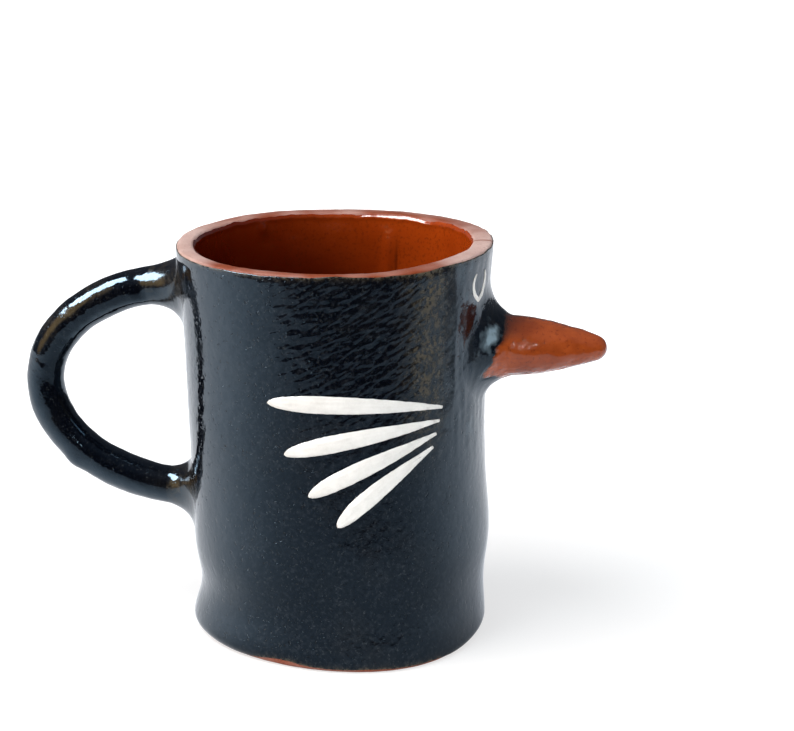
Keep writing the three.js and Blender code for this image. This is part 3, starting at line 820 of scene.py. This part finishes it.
def handle_line(share):
    """Middle of the coil, from the upper joint (share 0) round the crown to the lower joint (share 1)."""
    crown_height = (HANDLE_UPPER_HEIGHT + HANDLE_LOWER_HEIGHT) / 2
    crown = np.array([-body_radius(crown_height) - HANDLE_REACH, 0, crown_height])

    def half(height, part):
        joint = np.array([-body_radius(height), 0, height])
        beside = np.array([joint[0] + HANDLE_ROUNDNESS * (crown[0] - joint[0]), 0, height])
        towards = np.array([crown[0], 0, crown_height + HANDLE_ROUNDNESS * (height - crown_height)])
        return bezier([joint, beside, towards, crown], part)

    upper = half(HANDLE_UPPER_HEIGHT, np.clip(2 * share, 0, 1))
    lower = half(HANDLE_LOWER_HEIGHT, np.clip(2 - 2 * share, 0, 1))
    return np.where((share < 0.5)[:, None], upper, lower)


def handle_radius(share):
    return HANDLE_END_RADIUS + (HANDLE_CROWN_RADIUS - HANDLE_END_RADIUS) * np.sin(math.pi * share)


def coil_rings(middle, radius, angle):
    """Rings square to a line in the XZ plane, and their spokes. Angle 0 points out of the bend."""
    sideways = np.array([0.0, 1.0, 0.0])
    inward = np.cross(headings(middle), sideways)[:, None, :]
    spokes = np.cos(angle)[..., None] * -inward + np.sin(angle)[..., None] * sideways
    return middle[:, None, :] + radius[..., None] * spokes, spokes


def coil_notch(share, angle):
    """Shallow dent across the coil just past the upper joint, on the photographed side."""
    return NOTCH_DEPTH * bell(share, *NOTCH_PLACE) * smooth_step(np.cos(angle - NOTCH_ANGLE), 0.3, 0.9)


def make_handle():
    """Rolled coil, a little uneven, with its ends run into the wall."""
    share = np.linspace(0, 1, 190)
    middle = handle_line(share)
    root = np.array([HANDLE_ROOT, 0, 0])
    middle = np.concatenate([middle[:1] + root, middle, middle[-1:] + root])
    share = np.concatenate([[0], share, [1]])[:, None]
    angle = circle_angles(TUBE_SIDES)
    rings, spokes = coil_rings(middle, handle_radius(share), angle)
    knuckle = KNUCKLE_HEIGHT * bell(share, *KNUCKLE_PLACE) * smooth_step(np.cos(angle), 0, 1)
    lift = uneven(rings, COIL_WAVES) + knuckle - coil_notch(share, angle)
    rings = rings + lift[..., None] * spokes
    mesh = skin("handle", rings)
    # Thin glaze on the coil's outside, its gold-brown partly a painted warm reflection.
    crest = smooth_step(np.cos(angle), -0.2, 0.9) * bell(share, *CREST_PLACE)
    paint(mesh, "thin", crest * (0.12 + 0.3 * noise_field(rings, 5, 20)))
    return mesh


def make_handle_weld(name, height, length, fill, spread, upper):
    """Smeared clay that curves from the wall to the coil."""
    turn = np.linspace(0, RIGHT_ANGLE, 30)
    standoff = length * (1 - np.cos(turn))
    from_joint = np.linspace(0, 0.3, 160)
    share = from_joint if upper else 1 - from_joint
    line = handle_line(share)
    distance = np.abs(line[:, 0] - line[0, 0])
    middle = np.stack([np.interp(standoff, distance, line[:, axis]) for axis in range(3)], -1)
    reached = np.interp(standoff, distance, share)[:, None]
    turn = turn[:, None]
    angle = circle_angles(TUBE_SIDES)
    coil, spokes = coil_rings(middle, handle_radius(reached), angle)
    gap_side = -1 if upper else 1
    towards_gap = gap_side * np.cos(angle)
    round_joint = np.stack([np.cos(angle), np.sin(angle), 0 * angle + height], -1)
    smear = 1 + HANDLE_WELD_SMEAR * noise_field(round_joint, 0.8, 21)
    flare = HANDLE_WELD_FLARE * smear * (1 + WELD_SIDEWAYS * np.sin(angle) ** 2)
    flare = flare + fill * smooth_step(towards_gap, 0, 1) + spread * smooth_step(-towards_gap, 0, 1)
    lift = uneven(coil, COIL_WAVES) - coil_notch(reached, angle) + WELD_OVER_COIL
    lift = lift + flare * (1 - np.sin(turn)) - WELD_INTO_COIL * smooth_step(turn, 0.9, RIGHT_ANGLE)
    place = coil + lift[..., None] * spokes
    hug = np.cos(turn)
    place[..., 2] += gap_side * HANDLE_WELD_DRIFT * hug

    def wall_face(spots):
        y, z = spots[..., 1], spots[..., 2]
        wall_angle = wrap(math.pi - np.arcsin(np.clip(y / BODY_RADIUS, -1, 1)))
        return -np.sqrt(face_radius(wall_angle, z) ** 2 - y**2)

    place[..., 0] += hug * (wall_face(place) - middle[0, 0])
    place[..., 0] += WELD_SINK * (1 - smooth_step(turn, 0, WELD_SINK_TURN))
    foot = place[:1] + WELD_APRON * spokes[:1]
    foot[..., 0] = wall_face(foot) + WELD_APRON_DEPTH
    end = middle[-1] + 0.8 * (place[-1:] - middle[-1])
    rings = np.concatenate([foot, place, end])
    mesh = skin(name, rings)
    paint(mesh, "thin", 0.12 + 0.15 * noise_field(rings, 5, 22))
    return mesh


def beak_radius(run):
    """Radius of the cone at a distance out from the wall."""
    taper_end = BEAK_LENGTH - BEAK_TIP_LENGTH
    taper = (BEAK_ROOT_RADIUS - BEAK_TIP_RADIUS) / (taper_end - BEAK_SHOULDER)
    nose = BEAK_TIP_RADIUS - taper * BEAK_TIP_LENGTH
    share = np.linspace(0, 1, 60)
    bend = (taper_end, BEAK_TIP_RADIUS)
    side = bezier([(0, BEAK_ROOT_RADIUS), (BEAK_SHOULDER, BEAK_ROOT_RADIUS), bend], share)
    tip = bezier([bend, (BEAK_LENGTH, nose), (BEAK_LENGTH, 0)], share)
    outline = np.concatenate([side, tip[1:]])
    return np.interp(run, outline[:, 0], outline[:, 1])


def beak_surface(turn, run, angle, depth):
    """Points of the beak's root flare (turn under a right angle) and cone."""
    hug = np.cos(turn)
    round_joint = np.stack([np.cos(angle), np.sin(angle), 0 * angle + 4], -1)
    smear = 1 + BEAK_WELD_SMEAR * noise_field(round_joint, 0.8, 23)
    smear = smear - BEAK_WELD_TUCK * smooth_step(-np.sin(angle), 0.1, 0.9)
    radius = beak_radius(run) + BEAK_WELD_FLARE * (1 - np.sin(turn)) * smear - depth
    y = radius * np.cos(angle)
    z = BEAK_HEIGHT + radius * np.sin(angle)
    wall = face_radius(np.arcsin(np.clip(y / BODY_RADIUS, -1, 1)), z)
    root = body_radius(BEAK_HEIGHT)
    sink = WELD_SINK * (1 - smooth_step(turn, 0, WELD_SINK_TURN))
    x = root + run + hug * (np.sqrt(wall**2 - y**2) - root) - depth * hug - sink
    place = np.stack([x, y, z], -1)
    spokes = np.stack([0 * angle, np.cos(angle), np.sin(angle)], -1)
    thumbed = hug * (1 - hug) * uneven(place, BEAK_THUMB_WAVES)
    return place + (uneven(place, BEAK_WAVES) * (1 - hug) + thumbed)[..., None] * spokes


def beak_border(angle):
    """How far the black glaze runs out along the beak."""
    spots = np.stack([np.cos(angle), np.sin(angle), 0 * angle], -1)
    bay = BEAK_BAY * angle_bell(angle, *BEAK_BAY_ANGLES)
    return BEAK_BORDER + uneven(spots, BEAK_BORDER_WAVES) - bay


def make_beak():
    """Blunt cone whose root widens to meet the wall."""
    root_turn = np.linspace(BEAK_START_TURN, RIGHT_ANGLE, 26)
    out = np.sin(np.linspace(0, RIGHT_ANGLE, 91))[1:]
    flare = BEAK_WELD_LENGTH * (1 - np.cos(root_turn))
    cone = BEAK_WELD_LENGTH + (BEAK_LENGTH - BEAK_WELD_LENGTH) * out
    cone[-1] = BEAK_LENGTH - BEAK_TIP_END
    turn = np.concatenate([root_turn, np.full_like(cone, RIGHT_ANGLE)])[:, None]
    run = np.concatenate([flare, cone])[:, None]
    angle = circle_angles(TUBE_SIDES)
    rings = beak_surface(turn, run, angle, BEAK_DEPTH)
    hidden = rings[:1] - np.array([BEAK_ROOT, 0, 0])
    mesh = skin("beak", np.concatenate([hidden, rings]))
    # Past its border the black glaze runs thin onto the beak. On the upper side the darkening reaches
    # further out: painted shade.
    past = np.clip(run - beak_border(angle), 0, None)
    fade = 0.25 + 2.2 * smooth_step(np.sin(angle), 0.2, 0.9)
    paint(mesh, "thin", np.concatenate([np.ones((1, TUBE_SIDES)), np.exp(-past / fade)]))
    return mesh


def make_beak_weld():
    """Black smear from the wall to a wavy line on the beak's root."""
    angle = circle_angles(2 * TUBE_SIDES)
    share = np.linspace(0, 1, 30)[:, None]
    turn = share * np.arccos(np.clip(1 - beak_border(angle) / BEAK_WELD_LENGTH, 0, 1))
    run = BEAK_WELD_LENGTH * (1 - np.cos(turn))
    lip = BEAK_WELD_LIP * smooth_step(share, 0.8, 1.0)
    face = beak_surface(turn, run, angle, lip - BEAK_WELD_RAISE)
    foot = beak_surface(turn[:1], run[:1], angle, -WELD_APRON) - [WELD_APRON + WELD_APRON_DEPTH, 0, 0]
    under = beak_surface(turn[::-5], run[::-5], angle, BEAK_WELD_THICKNESS)
    rings = np.concatenate([foot, face, under])
    mesh = skin("beak_weld", rings, loop=True)
    paint(mesh, "thin", 0.02 + 0.08 * noise_field(rings, 5, 27))
    # Painted highlight: a blue-white patch on the joint, towards -Y.
    gleam = angle_bell(angle, *GLEAM_ANGLES) * bell(share, *GLEAM_PLACE)
    patchy = gleam + 0.2 * noise_field(face, 0.8, 36) + 0.45 * noise_field(face, 1.9, 37)
    painted_reflection = 0.22 * smooth_step(patchy, 0.25, 0.6) + 0.6 * smooth_step(patchy, 0.6, 0.95)
    paint(mesh, "painted_reflection", np.concatenate([0 * foot[..., 0], painted_reflection, 0 * under[..., 0]]))
    return mesh


# Slip marks

def make_stroke(name, side, start_angle, line, width, dry):
    """Raised brush stroke along (distance round the wall, height) points."""
    heading = headings(line)
    across = np.stack([-heading[:, 1], heading[:, 0]], -1)[:, None, :]
    lanes = np.linspace(-1, 1, SLIP_LANES)
    spot = line[:, None, :] + (lanes * (width / 2)[:, None])[..., None] * across
    edge = noise_field(np.concatenate([spot, 0 * spot[..., :1]], -1), 1.3, 28)
    ragged = SLIP_RAGGED * edge * np.abs(lanes) ** 3 * np.sign(lanes)
    spot = spot + ragged[..., None] * across
    z = spot[..., 1]
    angle = wrap(side * (start_angle + spot[..., 0] / body_radius(z)))
    wall = face_radius(angle, z)
    along = np.linspace(0, HAIRS_ALONG, len(line))[:, None]
    hairs = flat_noise(along, lanes * HAIRS_ACROSS, level=0.5, seed=29)
    crown = SLIP_LIFT * (1 - np.abs(lanes) ** 4) * (0.75 + 0.35 * hairs)
    top = polar(wall + SLIP_EDGE_LIFT + crown, angle, z)
    bottom = polar(wall - SLIP_ROOT, angle, z)
    mesh = skin(name, np.concatenate([top, bottom[:, ::-1]], axis=1))
    dryness = dry[:, None] + 0.15 * np.abs(lanes) ** 6
    paint(mesh, "dry", np.concatenate([dryness, dryness[:, ::-1]], axis=1))
    return mesh


def make_eye(name, side):
    """Leaf-shaped loop, pointed below and open above."""
    share = np.linspace(0, 1, 44)
    back = bezier([(2.5, 3.2), (4.6, 0.6), (2.9, -2.4), (0.2, -3.7)], share)
    front = bezier([(0.2, -3.7), (-2.6, -2.6), (-4.4, 0.2), (-2.9, 3.1)], share)
    line = np.concatenate([back, front[1:]]) + [0, EYE_HEIGHT]
    run = np.abs(np.linspace(-1, 1, len(line)))
    width = EYE_END_WIDTH + EYE_SWELL * (1 - run**3)
    return make_stroke(name, side, EYE_ANGLE, line, width, 0.45 * smooth_step(run, 0.7, 1))


def make_feather(name, side, place):
    """Drop-shaped stroke, drawn out thin at the shoulder and round at the tail."""
    length = FEATHER_LENGTH - place * FEATHER_SHORTENING
    droop = FEATHER_DROOP + place * FEATHER_FAN
    along = np.array([math.cos(droop), -math.sin(droop)])
    above = np.array([math.sin(droop), math.cos(droop)])
    head = np.array([place * FEATHER_SETBACK, WING_HEIGHT - place * FEATHER_PITCH])
    share = 1 - np.linspace(1, 0, 130) ** 1.6
    line = bezier([head, head + along * length / 2 + above * FEATHER_BOW, head + along * length], share)
    rise = FEATHER_FULLEST / (1 - FEATHER_FULLEST) / 2
    swell = (share / FEATHER_FULLEST) ** rise * np.sqrt((1 - share) / (1 - FEATHER_FULLEST))
    width = FEATHER_POINT * (1 - share) + (FEATHER_WIDTH - FEATHER_POINT) * swell + 0.02
    return make_stroke(name, side, WING_ANGLE, line, width, 0.5 * smooth_step(share, 0.5, 0))


# Stage

def make_camera():
    data = bpy.data.cameras.new("camera")
    data.lens = CAMERA_LENS
    data.sensor_fit = "HORIZONTAL"
    data.sensor_width = SENSOR_WIDTH
    camera = add_object("camera", data)
    camera.location = CAMERA_PLACE
    aim = (CAMERA_AIM - CAMERA_PLACE).to_track_quat("-Z", "Y")
    camera.rotation_mode = "QUATERNION"
    camera.rotation_quaternion = aim @ Quaternion((0, 0, 1), CAMERA_ROLL)
    bpy.context.scene.camera = camera


def table_finish(middle):
    """White table, with one shade to be seen, one to be mirrored and one to light the mug."""
    material, tree, place = new_material("table_top")
    tree.nodes.remove(tree.nodes["Principled BSDF"])
    path = add_node(tree, "LightPath")
    outward = vector_math(tree, "NORMALIZE", place)
    distance = vector_math(tree, "LENGTH", place)
    from_middle = vector_math(tree, "DISTANCE", place, middle)
    towards_dark = vector_math(tree, "DOT_PRODUCT", outward, direction(DARK_ANGLE, 0))
    towards_stripe = vector_math(tree, "DOT_PRODUCT", outward, direction(STRIPE_ANGLE, 0))
    far_out = ramp(tree, distance, 0.22, 0.32, 0, STRIPE_SHADE)
    stripe = multiply(tree, ramp(tree, towards_stripe, 0.985, 0.998), far_out)
    near_edge = ramp(tree, from_middle, TABLE_RADIUS - EDGE_WIDTH, TABLE_RADIUS, 0, EDGE_SHADE)
    dark_edge = multiply(tree, near_edge, ramp(tree, towards_dark, 0.6, 0.95))
    clear = arithmetic(tree, "SUBTRACT", 1.0, arithmetic(tree, "MAXIMUM", stripe, dark_edge))

    def lit(tone, glow, strength):
        diffuse = add_node(tree, "BsdfDiffuse", Color=tone)
        emission = add_node(tree, "Emission", Color=glow, Strength=strength)
        return add_node(tree, "AddShader", i0=diffuse.outputs[0], i1=emission.outputs[0]).outputs[0]

    def mirrored_level(sides, front):
        return multiply(tree, clear, ramp(tree, towards_dark, -0.35, 0.92, sides, front))

    bounce = lit(TABLE_PALE, WHITE, 0.0)
    mirrored = lit(mirrored_level(0.6, 0.12), COOL, mirrored_level(0.56, 0.215))
    shown = lit(TABLE_GREY, WHITE, ramp(tree, distance, 0.03, 0.30, 0.65, 1.0))
    unseen = mix_shader(tree, path.outputs["Is Glossy Ray"], bounce, mirrored)
    surface = mix_shader(tree, path.outputs["Is Camera Ray"], unseen, shown)
    tree.links.new(surface, tree.nodes["Material Output"].inputs["Surface"])
    return material


def make_table():
    """Round table top, with its nearest edge in front of the mug."""
    middle = direction(TABLE_FRONT_ANGLE, 0) * (TABLE_FRONT - TABLE_RADIUS)
    edge = polar(TABLE_RADIUS, circle_angles(128)[0], -TABLE_DROP) + np.array(middle)
    mesh = bpy.data.meshes.new("table_top")
    mesh.from_pydata(edge.tolist(), [], [list(range(len(edge)))])
    mesh.materials.append(table_finish(middle))
    table = add_object("table_top", mesh)


def make_world():
    """White as the camera sees it. The light is soft, with a dim room behind the camera."""
    world = bpy.data.worlds.new("studio")
    world.use_nodes = True
    bpy.context.scene.world = world
    tree = world.node_tree
    tree.nodes.clear()
    path = add_node(tree, "LightPath")
    mirrored = path.outputs["Is Glossy Ray"]
    ray = add_node(tree, "TexCoord").outputs["Generated"]
    height = add_node(tree, "SeparateXYZ", Vector=ray).outputs["Z"]
    front = ramp(tree, vector_math(tree, "DOT_PRODUCT", ray, direction(ROOM_ANGLE, 0)), 0.45, 0.75)
    low = ramp(tree, height, 0.05, 0.35, 1, 0)
    high = multiply(tree, ramp(tree, height, 0.3, 0.8, 1, 0), mirrored)
    dim = multiply(tree, front, arithmetic(tree, "MAXIMUM", low, high))
    warm = ramp(tree, vector_math(tree, "DOT_PRODUCT", ray, direction(*WARM_PLACE)), 0.88, 0.995)
    colour = blend_colour(tree, mirrored, SKY, SKY_MIRRORED)
    colour = blend_colour(tree, warm, colour, SKY_WARM)
    colour = blend_colour(tree, dim, colour, ROOM_DIM)
    light = add_node(tree, "Background", Color=colour, Strength=1.0).outputs[0]
    white = add_node(tree, "Background", Color=WHITE, Strength=1.0).outputs[0]
    surface = mix_shader(tree, path.outputs["Is Camera Ray"], light, white)
    add_node(tree, "OutputWorld", Surface=surface)


def make_lamp(name, place, size, power, colour, lights=True, mirrored=True):
    """Lamp at an angle, an elevation and a distance, of a width and a height."""
    angle, elevation, distance = place
    data = bpy.data.lights.new(name, "AREA")
    data.shape = "RECTANGLE"
    data.size, data.size_y = size
    data.energy = power
    data.color = colour
    lamp = add_object(name, data)
    lamp.location = LAMP_AIM + direction(angle, elevation) * distance
    lamp.rotation_euler = (LAMP_AIM - lamp.location).to_track_quat("-Z", "Y").to_euler()
    lamp.visible_diffuse = lights
    lamp.visible_glossy = mirrored


make_camera()
make_table()
make_world()
make_lamp("window", (-165, 47, 1.1), (0.55, 0.75), 30.0, (0.95, 0.98, 1.0), lights=False)
make_lamp("key", (-144, 53, 1.2), (1.0, 1.0), 19.5, (0.97, 0.99, 1.0), mirrored=False)
make_lamp("fill", (-84, 3, 0.9), (0.4, 0.25), 1.7, (1.0, 0.99, 0.97), mirrored=False)
make_lamp("side_fill", (-25, 12, 0.9), (0.4, 0.25), 2.6, (1.0, 1.0, 1.0), mirrored=False)
make_lamp("spark", (-84, 14, 0.9), (0.022, 0.022), 0.12, (1.0, 0.99, 0.97), lights=False)

black = black_glaze("black_glaze", printed=False)
black_wall = black_glaze("black_glaze_wall", printed=True)
clay = bare_clay()
amber = amber_glaze()
red = beak_glaze()
white = white_slip()

upper_weld = make_handle_weld(
    "handle_upper_weld", HANDLE_UPPER_HEIGHT, UPPER_WELD_LENGTH, UPPER_WELD_FILL,
    spread=0.0, upper=True,
)
lower_weld = make_handle_weld(
    "handle_lower_weld", HANDLE_LOWER_HEIGHT, LOWER_WELD_LENGTH, LOWER_WELD_FILL,
    spread=LOWER_WELD_SPREAD, upper=False,
)
add_piece(make_floor(), clay, "bare_clay", "floor")
add_piece(make_wall(), clay, "bare_clay", "wall")
add_piece(make_wall_glaze(), black_wall, "black_glaze", "wall_glaze")
add_piece(make_liner_glaze(), amber, "amber_glaze", "liner_glaze", "floor_coil", "seam_coil")
add_piece(make_handle(), black, "black_glaze", "handle")
add_piece(upper_weld, black, "black_glaze", "handle_upper_weld")
add_piece(lower_weld, black, "black_glaze", "handle_lower_weld")
add_piece(make_beak(), red, "beak_glaze", "beak")
add_piece(make_beak_weld(), black, "black_glaze", "beak_weld")
for word, side in (("near", -1), ("far", 1)):
    eye = f"eye_{word}"
    add_piece(make_eye(eye + "_slip", side), white, "white_slip", eye)
    for place in range(FEATHER_COUNT):
        feather = f"wing_feather_{word}_{place + 1}"
        add_piece(make_feather(feather + "_slip", side, place), white, "white_slip", feather)

bpy.context.scene.view_settings.view_transform = "Standard"
